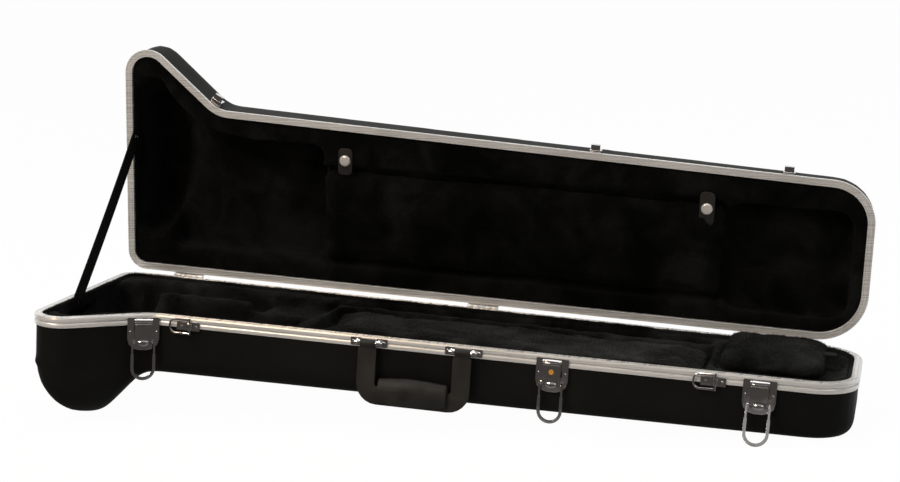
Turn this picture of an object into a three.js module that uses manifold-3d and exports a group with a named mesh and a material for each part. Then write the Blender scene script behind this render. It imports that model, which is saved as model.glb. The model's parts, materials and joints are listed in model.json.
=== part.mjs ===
// A moulded trombone case, standing open: two hinged ABS shells with a bell bulge, an aluminium valance,
// plush-covered foam inside, draw latches, shoulder rings and a carrying handle.
// Millimetres. In the case's own frame +X runs from the bell end to the tail, +Y to the hinge side and +Z up,
// with the parting plane of the two halves at zero. The whole case is then leaned onto the floor.
import * as THREE from 'three';
import { mergeVertices } from 'three/addons/utils/BufferGeometryUtils.js';
import Module from 'manifold-3d';

const wasm = await Module();
wasm.setup();

// Driving dimensions of the outline, seen from above
const caseLength = 965;
const neckWidth = 224;
const tailWidth = 200;
const flareEnd = 128;
const flareAngle = THREE.MathUtils.degToRad(40.3);
const cornerRadii = { bellBack: 25, bellFront: 32, flare: 41, tailFront: 54, tailBack: 61 };

// Driving dimensions of the two halves, measured away from the parting plane
const baseDepth = { neck: 75, tail: 68.5, bell: 136, rounder: 0 };
const lidDepth = { neck: 60, tail: 34, bell: 118, rounder: 24 };
const edgeRadius = 17;
const wall = 3;
const openAngle = THREE.MathUtils.degToRad(84.5);

// Clearances shared by all pieces
const gap = 0.3;
const partingGap = 0.2;
const overrun = 30;

// Valance section and the shell that sits in it
const trim = { width: 9, height: 13, flange: 1.2, web: 1.6, lip: 9, rib: 0.7, ribWidth: 4.6, ribInset: 1 };
const lidFlange = 3.6;
const shellInset = trim.flange + gap;
const hingeAxis = { behind: 3.8, above: 0 };

// Number of straight steps used for round shapes
const steps = { corner: 6, edge: 3, wire: 8, turned: 12, small: 8 };

const materials = {
  shell: { color: 0x0b0b0c, roughness: 0.5, metalness: 0 },
  valance: { color: 0xc9c6bd, roughness: 0.35, metalness: 1 },
  plush: { color: 0x141514, roughness: 1, metalness: 0 },
  paleplush: { color: 0x222524, roughness: 1, metalness: 0 },
  chrome: { color: 0xb9bcc2, roughness: 0.15, metalness: 1 },
  nickel: { color: 0xd8d5cc, roughness: 0.25, metalness: 1 },
  brass: { color: 0xb08a3c, roughness: 0.3, metalness: 1 },
  vinyl: { color: 0x1d1e1c, roughness: 0.6, metalness: 0 },
  webbing: { color: 0x0d0d0e, roughness: 0.9, metalness: 0 },
};

// Solids: joining and cutting closed meshes
function solid(geometry) {
  const bare = geometry.clone();
  bare.deleteAttribute('normal');
  bare.deleteAttribute('uv');
  const merged = mergeVertices(bare);
  return new wasm.Manifold(new wasm.Mesh({
    numProp: 3,
    vertProperties: merged.attributes.position.array,
    triVerts: new Uint32Array(merged.index.array),
  }));
}

function meshGeometry(body) {
  const mesh = body.getMesh();
  const geometry = new THREE.BufferGeometry();
  geometry.setAttribute('position', new THREE.BufferAttribute(new Float32Array(mesh.vertProperties), mesh.numProp));
  geometry.setIndex(new THREE.BufferAttribute(new Uint32Array(mesh.triVerts), 1));
  const flat = geometry.toNonIndexed();
  flat.computeVertexNormals();
  return flat;
}

function join(...geometries) {
  return geometries.map(solid).reduce((whole, next) => whole.add(next));
}

function addMesh(group, name, shape, finish) {
  const geometry = shape.isBufferGeometry ? shape : meshGeometry(shape);
  const mesh = new THREE.Mesh(geometry, new THREE.MeshStandardMaterial(materials[finish]));
  mesh.name = name;
  group.add(mesh);
  return mesh;
}

// Turns a half drawn upwards from the parting plane into one that hangs below it
function hungBelow(geometry) {
  const turned = geometry.index ? geometry.toNonIndexed() : geometry.clone();
  turned.scale(1, 1, -1);
  const places = turned.attributes.position;
  const first = new THREE.Vector3();
  const second = new THREE.Vector3();
  for (let i = 0; i < places.count; i += 3) {
    first.fromBufferAttribute(places, i);
    second.fromBufferAttribute(places, i + 1);
    places.setXYZ(i, second.x, second.y, second.z);
    places.setXYZ(i + 1, first.x, first.y, first.z);
  }
  return turned;
}

// Outlines: a polygon, drawn anticlockwise, moved inwards by inset and with its corners rounded
function roundedOutline(corners, inset = 0, cornerSteps = steps.corner) {
  const count = corners.length;
  const edges = corners.map((corner, i) => {
    const next = corners[(i + 1) % count];
    const direction = new THREE.Vector2(next.x - corner.x, next.y - corner.y).normalize();
    const start = new THREE.Vector2(corner.x - direction.y * inset, corner.y + direction.x * inset);
    return { start, direction };
  });
  const points = [];
  corners.forEach((corner, i) => {
    const before = edges[(i + count - 1) % count];
    const after = edges[i];
    const turn = before.direction.cross(after.direction);
    const between = after.start.clone().sub(before.start);
    const point = before.start.clone().addScaledVector(before.direction, between.cross(after.direction) / turn);
    const radius = corner.r + (turn > 0 ? -inset : inset);
    if (!(corner.r > 0)) {
      points.push(point);
      return;
    }
    const angle = Math.asin(Math.abs(turn));
    const tangent = radius * Math.tan(before.direction.dot(after.direction) < 0 ? (Math.PI - angle) / 2 : angle / 2);
    const side = Math.sign(turn);
    const centre = point.clone().addScaledVector(before.direction, -tangent);
    centre.x -= before.direction.y * radius * side;
    centre.y += before.direction.x * radius * side;
    const sweep = side * (before.direction.dot(after.direction) < 0 ? Math.PI - angle : angle);
    const from = Math.atan2(before.direction.x * -side, before.direction.y * side);
    for (let k = 0; k <= cornerSteps; k += 1) {
      const at = from + (sweep * k) / cornerSteps;
      points.push(new THREE.Vector2(centre.x + radius * Math.cos(at), centre.y + radius * Math.sin(at)));
    }
  });
  return points;
}

function box(width, depth, height, x = 0, y = 0, z = 0) {
  return new THREE.BoxGeometry(width, depth, height).translate(x, y, z);
}

function boxBetween(low, high) {
  const size = high.clone().sub(low);
  const middle = high.clone().add(low).multiplyScalar(0.5);
  return box(size.x, size.y, size.z, middle.x, middle.y, middle.z);
}

// Cylinders along the three directions
function rodX(radius, length, sides = steps.turned) {
  return new THREE.CylinderGeometry(radius, radius, length, sides).rotateZ(Math.PI / 2);
}

function rodY(radius, length, sides = steps.turned) {
  return new THREE.CylinderGeometry(radius, radius, length, sides);
}

function rodZ(radius, length, sides = steps.turned) {
  return new THREE.CylinderGeometry(radius, radius, length, sides).rotateX(Math.PI / 2);
}

// A shape drawn in X and Z and made thick outwards, towards -Y, from y = 0
function facePlate(points, thickness, holes = []) {
  const shape = new THREE.Shape(points);
  holes.forEach((hole) => shape.holes.push(new THREE.Path(hole)));
  return new THREE.ExtrudeGeometry(shape, { depth: thickness, bevelEnabled: false }).rotateX(Math.PI / 2);
}

function rectangle(left, right, low, high, radius = 0, cornerSteps = steps.edge) {
  const corners = [[left, high], [left, low], [right, low], [right, high]];
  return roundedOutline(corners.map(([x, y]) => ({ x, y, r: radius })), 0, cornerSteps);
}

// The plan of the case
function casePlan(inset) {
  return roundedOutline([
    { x: 0, y: 0, r: cornerRadii.bellBack },
    { x: 0, y: -(neckWidth + flareEnd * Math.tan(flareAngle)), r: cornerRadii.bellFront },
    { x: flareEnd, y: -neckWidth, r: cornerRadii.flare },
    { x: caseLength, y: -tailWidth, r: cornerRadii.tailFront },
    { x: caseLength, y: 0, r: cornerRadii.tailBack },
  ], inset);
}

const outerPlan = casePlan(0);
const bellFront = Math.min(...outerPlan.map((point) => point.y));

// The front edge's y at a given x, read on the outline
function frontY(x) {
  let lowest = 0;
  outerPlan.forEach((a, i) => {
    const b = outerPlan[(i + 1) % outerPlan.length];
    if ((a.x - x) * (b.x - x) <= 0 && a.x !== b.x) {
      lowest = Math.min(lowest, a.y + ((b.y - a.y) * (x - a.x)) / (b.x - a.x));
    }
  });
  return lowest;
}

function planBlock(inset, from, to, bevel = 0) {
  const shape = new THREE.Shape(casePlan(inset));
  const options = { depth: to - from, bevelEnabled: false };
  if (bevel > 0) {
    Object.assign(options, {
      depth: to - from - 2 * bevel,
      bevelEnabled: true,
      bevelThickness: bevel,
      bevelSize: bevel,
      bevelOffset: -bevel,
      bevelSegments: steps.edge,
    });
  }
  return new THREE.ExtrudeGeometry(shape, options).translate(0, 0, from + bevel);
}

function planRing(outer, inner, from, to) {
  const shape = new THREE.Shape(casePlan(outer));
  shape.holes.push(new THREE.Path(casePlan(inner)));
  return new THREE.ExtrudeGeometry(shape, { depth: to - from, bevelEnabled: false }).translate(0, 0, from);
}

// The bell's place in the case, with its cavity as shares of the radius of its rim
const bell = { axisShare: 0.6786, start: 14, mouth: 108 };
bell.axisY = -bell.axisShare * neckWidth;
const bellShape = {
  alongShares: [0, 0.14, 0.3, 0.42, 0.58, 0.78, 1.06, 1.5, 2.2],
  radiusShares: [0.86, 1, 1, 0.82, 0.65, 0.51, 0.4, 0.33, 0.27],
};

// The filled form of one half, drawn upwards: the shell's outer face, moved inwards by inset
const bulge = {
  crownEnd: 46, crown: 24, slopeEnd: 102, slope: 30, end: 150, sunk: 1.5, skew: THREE.MathUtils.degToRad(11),
  backRadius: 60, endRadius: 35, frontRadius: 85, frontFrom: -46, frontTo: -148, frontCount: 5,
};

// The roundings of the bulge: back, end, and a fan of them around the front corner
function bulgeEdges(rounder) {
  const fan = Array.from({ length: bulge.frontCount }, (_, i) => {
    const share = i / (bulge.frontCount - 1);
    return { turn: bulge.frontFrom + (bulge.frontTo - bulge.frontFrom) * share, radius: bulge.frontRadius + rounder };
  });
  return [{ turn: 90, radius: bulge.backRadius }, { turn: 180, radius: bulge.endRadius }, ...fan];
}

// A rounding of the bulge towards one side, given as an angle in plan
function edgeBlock({ turn, radius }, level, inset) {
  const angle = THREE.MathUtils.degToRad(turn);
  const reach = Math.max(...outerPlan.filter((point) => point.x < flareEnd)
    .map((point) => point.x * Math.cos(angle) + point.y * Math.sin(angle)));
  const profile = roundedOutline([
    { x: -caseLength, y: -overrun, r: 0 },
    { x: reach, y: -overrun, r: 0 },
    { x: reach, y: level, r: radius },
    { x: -caseLength, y: level, r: 0 },
  ], inset);
  return new THREE.ExtrudeGeometry(new THREE.Shape(profile), { depth: 2 * caseLength, bevelEnabled: false })
    .rotateX(Math.PI / 2)
    .translate(0, caseLength, 0)
    .rotateZ(angle);
}

function halfForm(depth, inset) {
  const sunk = inset - shellInset;
  const body = planBlock(inset, -overrun, depth.neck - sunk, edgeRadius - inset);
  const places = body.attributes.position;
  for (let i = 0; i < places.count; i += 1) {
    const along = (places.getX(i) - flareEnd) / (caseLength - flareEnd);
    const shallower = 1 - (1 - (depth.tail - sunk) / (depth.neck - sunk)) * along;
    if (places.getZ(i) > 0) places.setZ(i, places.getZ(i) * shallower);
  }
  const neckLevel = depth.neck + shellInset - bulge.sunk;
  const bellLevel = depth.bell + shellInset;
  const profile = roundedOutline([
    { x: -caseLength, y: -overrun, r: 0 },
    { x: bulge.end, y: -overrun, r: 0 },
    { x: bulge.end, y: neckLevel, r: 0 },
    { x: bulge.slopeEnd, y: neckLevel, r: bulge.slope },
    { x: bulge.crownEnd, y: bellLevel, r: bulge.crown },
    { x: -caseLength, y: bellLevel, r: 0 },
  ], inset);
  const shoulder = new THREE.ExtrudeGeometry(new THREE.Shape(profile), { depth: 2 * caseLength, bevelEnabled: false })
    .rotateX(Math.PI / 2)
    .translate(0, caseLength, 0)
    .rotateZ(bulge.skew)
    .translate(0, bell.axisY, 0);
  let pouch = solid(planBlock(inset, -overrun, depth.bell + overrun)).intersect(solid(shoulder));
  bulgeEdges(depth.rounder).forEach((edge) => {
    pouch = pouch.intersect(solid(edgeBlock(edge, bellLevel, inset)));
  });
  return solid(body).add(pouch);
}

function cutBelow(body, height) {
  const low = new THREE.Vector3(-overrun, bellFront - overrun, -3 * overrun);
  const high = new THREE.Vector3(caseLength + overrun, overrun, height);
  return body.subtract(solid(boxBetween(low, high)));
}

// Moulded blisters on the two corners of the bell end
const blister = { radius: 17, height: 9, proud: 1.6, level: 58 };

function blisters() {
  const corners = [
    { x: cornerRadii.bellFront, y: bellFront + cornerRadii.bellFront, r: cornerRadii.bellFront, towards: -1 },
    { x: cornerRadii.bellBack, y: -cornerRadii.bellBack, r: cornerRadii.bellBack, towards: 1 },
  ];
  return corners.map((corner) => {
    const reach = (corner.r + blister.proud - blister.radius) * Math.SQRT1_2;
    return new THREE.SphereGeometry(1, steps.turned, steps.corner)
      .scale(blister.radius, blister.radius, blister.height)
      .translate(corner.x - reach, corner.y + corner.towards * reach, blister.level);
  });
}

function shell(depth, withBlisters) {
  let outer = halfForm(depth, shellInset);
  if (withBlisters) outer = blisters().reduce((body, one) => body.add(solid(one)), outer);
  const hollow = halfForm(depth, shellInset + wall);
  return cutBelow(outer.subtract(hollow), trim.web + partingGap + gap);
}

// The valance of one half, drawn upwards; its outer flange carries the ribs that start at the given levels
function valance(height, ribLevels) {
  const outerFlange = planRing(0, trim.flange, partingGap, height);
  const web = planRing(0, trim.width, partingGap, trim.web + partingGap);
  const lip = planRing(trim.width - trim.flange, trim.width, partingGap, trim.lip);
  const ribs = ribLevels.map((level) => planRing(-trim.rib, trim.flange, level, level + trim.ribWidth));
  return join(outerFlange, web, lip, ...ribs);
}

function baseValance() {
  const low = trim.height - trim.ribInset - trim.ribWidth;
  return valance(trim.height, [partingGap + trim.ribInset, low]);
}

// The straight stretch between flare and tail: a place along it, and its width at a given x
function alongStraight(share) {
  return flareEnd + (caseLength - flareEnd) * share;
}

function straightWidth(x) {
  const along = (Math.max(x, flareEnd) - flareEnd) / (caseLength - flareEnd);
  return neckWidth + (tailWidth - neckWidth) * along;
}

// A rectangle in plan, as shares: left and right of the length, front and back of the lesser width at its ends
function planPlace({ leftShare, rightShare, frontShare, backShare, ...rest }) {
  const left = leftShare * caseLength;
  const right = rightShare * caseLength;
  const width = Math.min(straightWidth(left), straightWidth(right));
  return { left, right, front: -frontShare * width, back: -backShare * width, ...rest };
}

// Wells in the lining, with their depth below the parting plane
const liningTop = 3;
const liningDrop = 10.3;
const baseWellPlaces = {
  trough: { leftShare: 0.062, rightShare: 0.311, frontShare: 0.933, backShare: 0.457, depth: 56, r: 16 },
  backLeft: { leftShare: 0.046, rightShare: 0.23, frontShare: 0.388, backShare: 0.117, depth: 52, r: 12 },
  slide: { leftShare: 0.311, rightShare: 0.8145, frontShare: 0.245, backShare: 0.075, depth: 56, r: 12 },
  accessory: { leftShare: 0.848, rightShare: 0.947, frontShare: 0.745, backShare: 0.169, depth: 56, r: 14 },
  saddle: { leftShare: 0.2175, rightShare: 0.3235, frontShare: 0.55, backShare: 0.183, depth: 16, r: 20 },
  frontPad: { leftShare: 0.3295, rightShare: 0.8205, frontShare: 0.957, backShare: 0.3, depth: 20.5, r: 14 },
  tail: { leftShare: 0.827, rightShare: 0.98, frontShare: 0.878, backShare: 0.11, depth: liningDrop, r: 30 },
};
const lidWellPlaces = {
  bellThroat: { leftShare: 0.062, rightShare: 0.28, frontShare: 0.856, backShare: 0.155, depth: 44, r: 14 },
  pad: { leftShare: 0.2715, rightShare: 0.8205, frontShare: 0.8, backShare: 0.1465, depth: 18, r: 16 },
  tail: { leftShare: 0.8145, rightShare: 0.975, frontShare: 0.808, backShare: 0.12, depth: 25, r: 20 },
};

function planWells(places) {
  return Object.fromEntries(Object.entries(places).map(([name, place]) => [name, planPlace(place)]));
}

const baseWells = planWells(baseWellPlaces);
const lidWells = planWells(lidWellPlaces);

function well({ left, right, front, back, depth, r }) {
  const shape = new THREE.Shape(rectangle(left, right, front, back, r));
  return new THREE.ExtrudeGeometry(shape, { depth: depth + overrun, bevelEnabled: false }).translate(0, 0, -overrun);
}

function bellCavity() {
  const profile = [new THREE.Vector2(0, 0)];
  bellShape.alongShares.forEach((share, i) => {
    profile.push(new THREE.Vector2(bell.mouth * bellShape.radiusShares[i], bell.mouth * share));
  });
  profile.push(new THREE.Vector2(0, profile[profile.length - 1].y));
  return new THREE.LatheGeometry(profile, 2 * steps.turned)
    .rotateZ(-Math.PI / 2)
    .translate(bell.start, bell.axisY, 0);
}

const stayShare = 0.7634;
const stay = {
  width: 22, thick: 1.6, y: -stayShare * neckWidth, hem: 15, seam: 9.5, plate: 1.4, plateWide: 10, plateTall: 8,
  rivet: 2.6, rivetHeight: 1, shank: 1.2,
};
const staySlot = { width: 8, half: 34, depth: 24 };

function lining(depth, wells) {
  const slotLow = new THREE.Vector3(0, stay.y - staySlot.half, -overrun);
  const slotHigh = new THREE.Vector3(trim.width + gap + staySlot.width, stay.y + staySlot.half, staySlot.depth);
  const cuts = [bellCavity(), boxBetween(slotLow, slotHigh), ...Object.values(wells).map(well)];
  const edge = solid(planRing(-overrun, trim.width + gap, -overrun, trim.lip + gap));
  const body = halfForm(depth, shellInset + wall + gap).subtract(edge);
  return cutBelow(cuts.reduce((rest, cut) => rest.subtract(solid(cut)), body), liningTop);
}

// A padded block: rounded in plan, with a crowned top and drawn-in lower edges, drawn upwards
function paddedBlock({ left, right, front, back, thick, crown, r }) {
  const bevel = Math.min(thick, r) / 2;
  const shape = new THREE.Shape(rectangle(left, right, front, back, r));
  const geometry = new THREE.ExtrudeGeometry(shape, {
    depth: thick - 2 * bevel,
    bevelEnabled: true,
    bevelThickness: bevel,
    bevelSize: bevel,
    bevelOffset: -bevel,
    bevelSegments: 3,
  }).translate(0, 0, bevel);
  const across = (right - left) / 2;
  const along = (back - front) / 2;
  const places = geometry.attributes.position;
  for (let i = 0; i < places.count; i += 1) {
    const u = (places.getX(i) - (left + right) / 2) / across;
    const v = (places.getY(i) - (front + back) / 2) / along;
    const rise = crown * (1 - Math.max(Math.abs(u), Math.abs(v)) ** 2);
    if (places.getZ(i) > thick / 2) places.setZ(i, places.getZ(i) + rise);
  }
  return geometry;
}

const basePad = { thick: 13, crown: 2, clear: 3 };
const lidPadRoom = { thick: 13, crown: 2, clear: 4, r: 12 };
const coverPlace = {
  leftShare: 0.832, rightShare: 0.9605, frontShare: 0.785, backShare: 0.139, thick: 16.5, crown: 2, r: 14,
};
const cover = planPlace(coverPlace);
const pullTab = { width: 16, long: 25, thick: 1.6, root: 16, acrossShare: 0.437 };

// A block that fills a well, less a clearance all round
function blockIn(room, { clear, ...block }) {
  return {
    left: room.left + clear, right: room.right - clear, front: room.front + clear, back: room.back - clear, ...block,
  };
}

// The floor under the case, which leans from the bottom of its bell bulge to the lower edge of its tail
const leanRounds = 4;

function restingFloor(geometry) {
  const places = geometry.attributes.position;
  const point = new THREE.Vector3();
  const bellLow = new THREE.Vector3();
  const tailLow = new THREE.Vector3();
  let slope = 0;
  for (let round = 0; round < leanRounds; round += 1) {
    bellLow.set(0, 0, 0);
    tailLow.set(caseLength, 0, slope * caseLength);
    for (let i = 0; i < places.count; i += 1) {
      point.fromBufferAttribute(places, i);
      const low = point.x < bulge.end ? bellLow : tailLow;
      const past = point.x > flareEnd + bulge.end || point.x < bulge.end;
      if (past && point.z - slope * point.x < low.z - slope * low.x) low.copy(point);
    }
    slope = (tailLow.z - bellLow.z) / (tailLow.x - bellLow.x);
  }
  return { slope, dropAt: (x) => -bellLow.z - slope * (x - bellLow.x) };
}

// Fronts: a group whose X runs along the front wall and whose -Y points away from it
function frontFrame(x, half) {
  const a = new THREE.Vector2(x - half, frontY(x - half));
  const b = new THREE.Vector2(x + half, frontY(x + half));
  const frame = new THREE.Group();
  frame.position.set((a.x + b.x) / 2, (a.y + b.y) / 2 - trim.rib, 0);
  frame.rotation.z = Math.atan2(b.y - a.y, b.x - a.x);
  frame.updateMatrix();
  return frame;
}

const bandEnvelope = planBlock(-trim.rib - gap, -trim.height - gap, lidFlange + gap);
const wallEnvelope = planBlock(shellInset - gap, -baseDepth.bell, lidDepth.bell);

// Cuts the back of a fitting so that it follows the valance and the shell wall behind it
function seated(geometry, frame) {
  const toFrame = frame.matrix.clone().invert();
  return solid(geometry)
    .subtract(solid(bandEnvelope.clone().applyMatrix4(toFrame)))
    .subtract(solid(wallEnvelope.clone().applyMatrix4(toFrame)));
}

function rivetHead(radius, height, x, y, z) {
  return new THREE.CylinderGeometry(radius, radius * rivet.topShare, height, steps.small)
    .translate(x, y - height / 2, z);
}

// Draw latches
const latchShares = [0.589, 0.8722];
const latchBeforeFlare = 4;
const latchPlaces = [flareEnd - latchBeforeFlare, ...latchShares.map(alongStraight)];
const plate = { width: 38, top: 3, low: 43, cut: 14, thick: 1.2, back: 6, hold: 7, r: 1.5 };
const pivot = { drop: 6.4, out: 2.4, pin: 1, bore: 1.35, barrel: 2.1, barrelHalf: 8.6, ear: 2, earHalf: 10.9 };
const lever = { half: 10.6, thick: 1.4, low: 31.6, boxLow: 20.5, boxOut: 2.2, boxInset: 1, end: 8 };
const bailEar = { drop: 27.1, inner: 8.6, outer: 10.6, reach: 2.1, bore: 1.35 };
const thumb = { drop: 27, halfWide: 7, halfTall: 4.2, proud: 2.4 };
const bail = { half: 13, pin: 1.05, pinIn: 9, neck: 2.4, arm: 3.6, neckLong: 14, thick: 2.4, long: 46 };
const rivet = { radius: 2, height: 0.9, topShare: 0.6, x: 15.6, z: 21 };
const keeper = {
  half: 7.5, low: 4.6, high: 16.6, thick: 1.2, ledge: 5.6, ledgeThick: 1.5, seat: 6.9, lip: 5.6, hookHalf: 5.8,
};
const lock = { radius: 3.1, drop: 11.4, proud: 0.5, slotWidth: 0.9, slotLong: 3.4 };

function latchPlate(frame) {
  const half = plate.width / 2;
  const outline = roundedOutline([
    { x: -half, y: -plate.top, r: plate.r },
    { x: -half, y: -plate.low, r: plate.cut },
    { x: half, y: -plate.low, r: plate.cut },
    { x: half, y: -plate.top, r: plate.r },
  ], 0, steps.edge);
  const slab = facePlate(outline, plate.thick + plate.back).translate(0, plate.back - gap, 0);
  const face = -plate.thick - gap;
  const body = seated(slab, frame);
  const parts = [-1, 1].map((side) => rivetHead(rivet.radius, rivet.height + gap, side * rivet.x, face + gap, -rivet.z));
  [-1, 1].forEach((side) => {
    const x = side * (pivot.earHalf - pivot.ear / 2);
    const out = face - pivot.out;
    parts.push(box(pivot.ear, -out, 2 * pivot.barrel, x, (out + face + gap) / 2, -pivot.drop));
    parts.push(rodX(pivot.barrel, pivot.ear).translate(x, out, -pivot.drop));
  });
  const bore = rodX(pivot.bore, plate.width, steps.small).translate(0, face - pivot.out, -pivot.drop);
  const ears = parts.slice(2).map(solid).reduce((whole, next) => whole.add(next)).subtract(solid(bore));
  const trimmed = ears.subtract(solid(boxBetween(
    new THREE.Vector3(-half, face + gap, -plate.low),
    new THREE.Vector3(half, plate.back, 0),
  )));
  return body.add(trimmed).add(join(...parts.slice(0, 2)));
}

// The lever is drawn about its pivot, hanging down
function latchLever(withLock) {
  const panelTop = -pivot.barrel - lever.thick;
  const panelOutline = roundedOutline([
    { x: -lever.half, y: -pivot.barrel, r: 0 },
    { x: -lever.half, y: -lever.low, r: lever.end },
    { x: lever.half, y: -lever.low, r: lever.end },
    { x: lever.half, y: -pivot.barrel, r: 0 },
  ], 0, steps.edge);
  const panel = facePlate(panelOutline, lever.thick);
  const neck = facePlate(rectangle(-pivot.barrelHalf, pivot.barrelHalf, panelTop, 0), lever.thick);
  const boxHalf = lever.half - lever.boxInset;
  const raisedOutline = rectangle(-boxHalf, boxHalf, -lever.boxLow, panelTop, lever.boxInset);
  const raised = facePlate(raisedOutline, lever.thick + lever.boxOut);
  const dome = new THREE.SphereGeometry(1, steps.turned, steps.corner)
    .scale(thumb.halfWide, thumb.proud, thumb.halfTall)
    .translate(0, -lever.thick, -thumb.drop);
  const behind = boxBetween(
    new THREE.Vector3(-lever.half, -lever.thick / 2, -lever.low),
    new THREE.Vector3(lever.half, thumb.proud, panelTop),
  );
  const pressed = solid(dome).subtract(solid(behind));
  const barrel = rodX(pivot.barrel, 2 * pivot.barrelHalf);
  let body = join(panel, neck, raised, barrel).add(pressed);
  body = body.subtract(solid(rodX(pivot.bore, plate.width, steps.small)));
  [-1, 1].forEach((side) => {
    const x = (side * (bailEar.inner + bailEar.outer)) / 2;
    const wide = bailEar.outer - bailEar.inner;
    const boss = box(wide, 2 * bailEar.reach, 2 * bailEar.reach, x, -lever.thick / 2, -bailEar.drop);
    const bore = rodX(bailEar.bore, wide + 2 * gap, steps.small).translate(x, -lever.thick / 2, -bailEar.drop);
    body = body.add(solid(boss)).subtract(solid(bore));
  });
  if (withLock) {
    const hole = rodY(lock.radius + gap, 2 * overrun).translate(0, 0, -lock.drop);
    body = body.subtract(solid(hole));
  }
  return body;
}

// The bail is drawn about its pivot, hanging down
function latchBail() {
  const outer = roundedOutline([
    { x: -bail.half - bail.arm / 2, y: bail.neck / 2, r: 0 },
    { x: -bail.half - bail.arm / 2, y: -bail.long, r: bail.half + bail.arm / 2 },
    { x: bail.half + bail.arm / 2, y: -bail.long, r: bail.half + bail.arm / 2 },
    { x: bail.half + bail.arm / 2, y: bail.neck / 2, r: 0 },
  ]);
  const inner = roundedOutline([
    { x: -bail.half + bail.arm / 2, y: bail.arm, r: 0 },
    { x: -bail.half + bail.arm / 2, y: -bail.long + bail.arm, r: bail.half - bail.arm / 2 },
    { x: bail.half - bail.arm / 2, y: -bail.long + bail.arm, r: bail.half - bail.arm / 2 },
    { x: bail.half - bail.arm / 2, y: bail.arm, r: 0 },
  ]);
  const middle = bail.thick / 2;
  const opening = facePlate(inner, 3 * bail.thick).translate(0, bail.thick, 0);
  let body = solid(facePlate(outer, bail.thick)).subtract(solid(opening));
  [-1, 1].forEach((side) => {
    const shave = (bail.arm - bail.neck) / 2;
    [-1, 1].forEach((edge) => {
      const x = side * (bail.half + edge * (bail.neck / 2 + shave));
      const cut = box(2 * shave, 3 * bail.thick, bail.neckLong + bail.arm, x, 0, -(bail.neckLong - bail.arm) / 2);
      body = body.subtract(solid(cut));
    });
    const long = bail.half - bail.pinIn;
    body = body.add(solid(rodX(bail.pin, long, steps.small).translate(side * (bail.pinIn + long / 2), -middle, 0)));
  });
  return meshGeometry(body).translate(0, middle, 0);
}

function keeperHook(frame) {
  const outline = rectangle(-keeper.half, keeper.half, keeper.low, keeper.high, keeper.thick);
  const slab = facePlate(outline, keeper.thick + plate.back).translate(0, plate.back - gap, 0);
  const face = -gap - keeper.thick;
  const ledge = boxBetween(
    new THREE.Vector3(-keeper.hookHalf, face - keeper.ledge, keeper.seat - keeper.ledgeThick),
    new THREE.Vector3(keeper.hookHalf, face + gap, keeper.seat),
  );
  const lip = boxBetween(
    new THREE.Vector3(-keeper.hookHalf, face - keeper.ledge - keeper.thick, keeper.seat - keeper.ledgeThick),
    new THREE.Vector3(keeper.hookHalf, face - keeper.ledge, keeper.seat - keeper.ledgeThick + keeper.lip),
  );
  return seated(slab, frame).add(join(ledge, lip));
}

function lockCylinder() {
  const out = lever.thick + lever.boxOut + lock.proud;
  const slot = box(lock.slotWidth, lock.proud, lock.slotLong, 0, -out, 0);
  return solid(rodY(lock.radius, out).translate(0, -out / 2, 0)).subtract(solid(slot));
}

// A bail longer than the room below its pivot stands on the floor, swung outwards
function bailSplay(x, floor) {
  const room = (floor.dropAt(x) - pivot.drop - bailEar.drop) * Math.cos(Math.atan(floor.slope));
  const reach = room - bail.thick / 2 - 2 * gap;
  return Math.acos(Math.min(1, reach / bail.long));
}

function addLatch(base, lid, x, number, floor) {
  const frame = frontFrame(x, plate.width / 2);
  const hookFrame = frame.clone();
  addMesh(frame, `latch_plate_${number}`, latchPlate(frame), 'chrome');
  const face = -plate.thick - gap;
  const leverFrame = new THREE.Group();
  leverFrame.position.set(0, face - pivot.out, -pivot.drop);
  addMesh(leverFrame, `latch_pin_${number}`, rodX(pivot.pin, 2 * pivot.earHalf, steps.small), 'chrome');
  addMesh(leverFrame, `latch_lever_${number}`, latchLever(number === 2), 'chrome');
  const bailMesh = addMesh(leverFrame, `latch_bail_${number}`, latchBail(), 'chrome');
  bailMesh.position.set(0, -lever.thick / 2, -bailEar.drop);
  bailMesh.rotation.x = -bailSplay(x, floor);
  if (number === 2) {
    const cylinder = addMesh(leverFrame, 'lock_cylinder', lockCylinder(), 'brass');
    cylinder.position.set(0, 0, -lock.drop);
  }
  frame.add(leverFrame);
  base.add(frame);
  addMesh(hookFrame, `keeper_${number}`, keeperHook(frame), 'chrome');
  lid.add(hookFrame);
}

// Shoulder rings, drawn about the ring's upright bar
const ringShares = [0.0621, 0.8124];
const ringPlaces = ringShares.map(alongStraight);
const ring = { wire: 1.4, tall: 17, wide: 25, middle: 10.6, corner: 6 };
const ringClip = {
  left: 17, right: 12, tall: 10, thick: 1, knuckle: 2.9, bore: 1.7, hold: 8, rivetLeft: 11, rivetRight: 7.5,
};

function ringClipBody(frame) {
  const low = -ring.middle - ringClip.tall / 2;
  const outline = rectangle(-ringClip.left, ringClip.right, low, low + ringClip.tall, ringClip.thick);
  const slab = facePlate(outline, ringClip.thick + plate.back).translate(0, plate.back - gap, 0);
  const face = -gap - ringClip.thick;
  const axis = face - ringClip.bore;
  const loop = rodZ(ringClip.knuckle, ringClip.hold).translate(0, axis, -ring.middle);
  const behind = boxBetween(
    new THREE.Vector3(-ringClip.knuckle, face + gap, -ring.tall - ringClip.hold),
    new THREE.Vector3(ringClip.knuckle, plate.back, 0),
  );
  const bore = rodZ(ringClip.bore, 2 * ring.tall, steps.small).translate(0, axis, -ring.middle);
  const rivets = [-ringClip.rivetLeft, ringClip.rivetRight].map((x) => (
    rivetHead(rivet.radius, rivet.height + gap, x, face + gap, -ring.middle)
  ));
  const knuckle = solid(loop).subtract(solid(behind));
  return seated(slab, frame).add(knuckle).add(join(...rivets)).subtract(solid(bore));
}

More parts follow.
